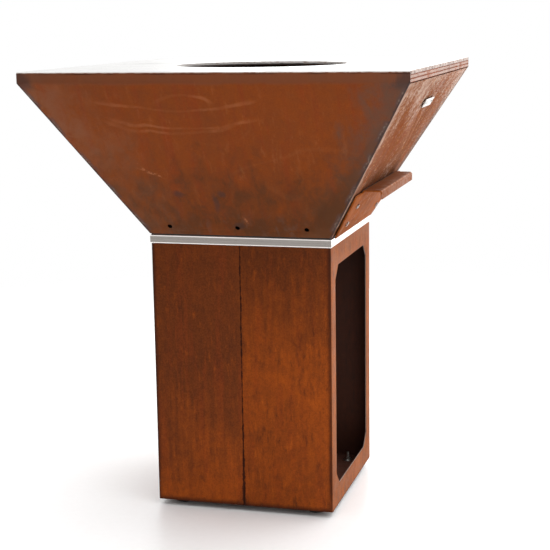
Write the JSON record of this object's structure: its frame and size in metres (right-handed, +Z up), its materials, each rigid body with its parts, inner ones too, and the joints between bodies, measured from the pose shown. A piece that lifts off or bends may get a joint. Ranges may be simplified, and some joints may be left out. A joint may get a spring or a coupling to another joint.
{
  "type": "wood-fired grill",
  "caption": "Square weathering-steel fire bowl with a flat cooking plate, an ash drawer and a bright spacer frame, on a square open wood store with levelling feet.",
  "frame": {"origin": "on the floor under the middle of the grill", "axes": "+Z up, +X towards the ash drawer and the wood store's opening, -Y towards the front"},
  "size_m": [0.85, 0.85, 1.024],
  "materials": {
    "weathered_bowl": "weathering steel with a brown rust patina and paler mill-scale edges",
    "weathered_store": "weathering steel with an even red-brown rust patina and vertical streaks",
    "bright_steel": "brushed stainless steel",
    "plate_steel": "bare ground steel cooking surface",
    "sooted_steel": "sooted sheet steel",
    "cast_grate": "cast iron, sooted",
    "zinc_steel": "zinc-plated fasteners",
    "foot_plastic": "black moulded plastic"
  },
  "bodies": {
    "grill_body": {"bowl_front_wall": "weathered_bowl", "bowl_back_wall": "weathered_bowl", "bowl_left_wall": "weathered_bowl", "bowl_right_wall": "weathered_bowl", "bowl_base_plate": "weathered_bowl", "rim_frame": "weathered_bowl", "plate_seat_frame": "weathered_bowl", "pedestal_left_shell": "weathered_store", "pedestal_right_shell": "weathered_store", "seam_strap_front": "weathered_store", "seam_strap_back": "weathered_store", "pedestal_floor": "weathered_store", "pedestal_top_plate": "weathered_store", "spacer_bar_front": "bright_steel", "spacer_bar_right": "bright_steel", "spacer_bar_back": "bright_steel", "spacer_bar_left": "bright_steel", "badge_plate": "bright_steel", "fire_floor": "sooted_steel", "drawer_rail_front": "sooted_steel", "drawer_rail_back": "sooted_steel", "bowl_bolts": "zinc_steel", "bowl_nuts": "zinc_steel", "bowl_washers": "zinc_steel", "foot_bearing_nuts": "zinc_steel", "foot_lock_nuts": "zinc_steel", "foot_washers": "zinc_steel", "badge_rivets": "zinc_steel", "badge_spacers": "zinc_steel"},
    "ash_drawer": {"drawer_front": "weathered_bowl", "drawer_tray": "sooted_steel", "drawer_bolts": "zinc_steel", "drawer_nuts": "zinc_steel"},
    "cooking_plate": {"cooking_plate": "plate_steel"},
    "fire_grate": {"fire_grate": "cast_grate"},
    "foot_front_left": {"foot_pad_front_left": "foot_plastic", "foot_stud_front_left": "zinc_steel"},
    "foot_front_right": {"foot_pad_front_right": "foot_plastic", "foot_stud_front_right": "zinc_steel"},
    "foot_back_left": {"foot_pad_back_left": "foot_plastic", "foot_stud_back_left": "zinc_steel"},
    "foot_back_right": {"foot_pad_back_right": "foot_plastic", "foot_stud_back_right": "zinc_steel"}
  },
  "joints": [
    {"name": "ash_drawer_slide", "type": "slide", "parent": "grill_body", "child": "ash_drawer", "axis": [1, 0, 0], "range_m": [0, 0.32]},
    {"name": "cooking_plate_lift", "type": "slide", "parent": "grill_body", "child": "cooking_plate", "axis": [0, 0, 1], "range_m": [0, 0.3]},
    {"name": "fire_grate_lift", "type": "slide", "parent": "grill_body", "child": "fire_grate", "axis": [0, 0, 1], "range_m": [0, 0.32]},
    {"name": "foot_front_left_level", "type": "slide", "parent": "grill_body", "child": "foot_front_left", "axis": [0, 0, -1], "range_m": [0, 0.012]},
    {"name": "foot_front_right_level", "type": "slide", "parent": "grill_body", "child": "foot_front_right", "axis": [0, 0, -1], "range_m": [0, 0.012]},
    {"name": "foot_back_left_level", "type": "slide", "parent": "grill_body", "child": "foot_back_left", "axis": [0, 0, -1], "range_m": [0, 0.012]},
    {"name": "foot_back_right_level", "type": "slide", "parent": "grill_body", "child": "foot_back_right", "axis": [0, 0, -1], "range_m": [0, 0.012]}
  ]
}
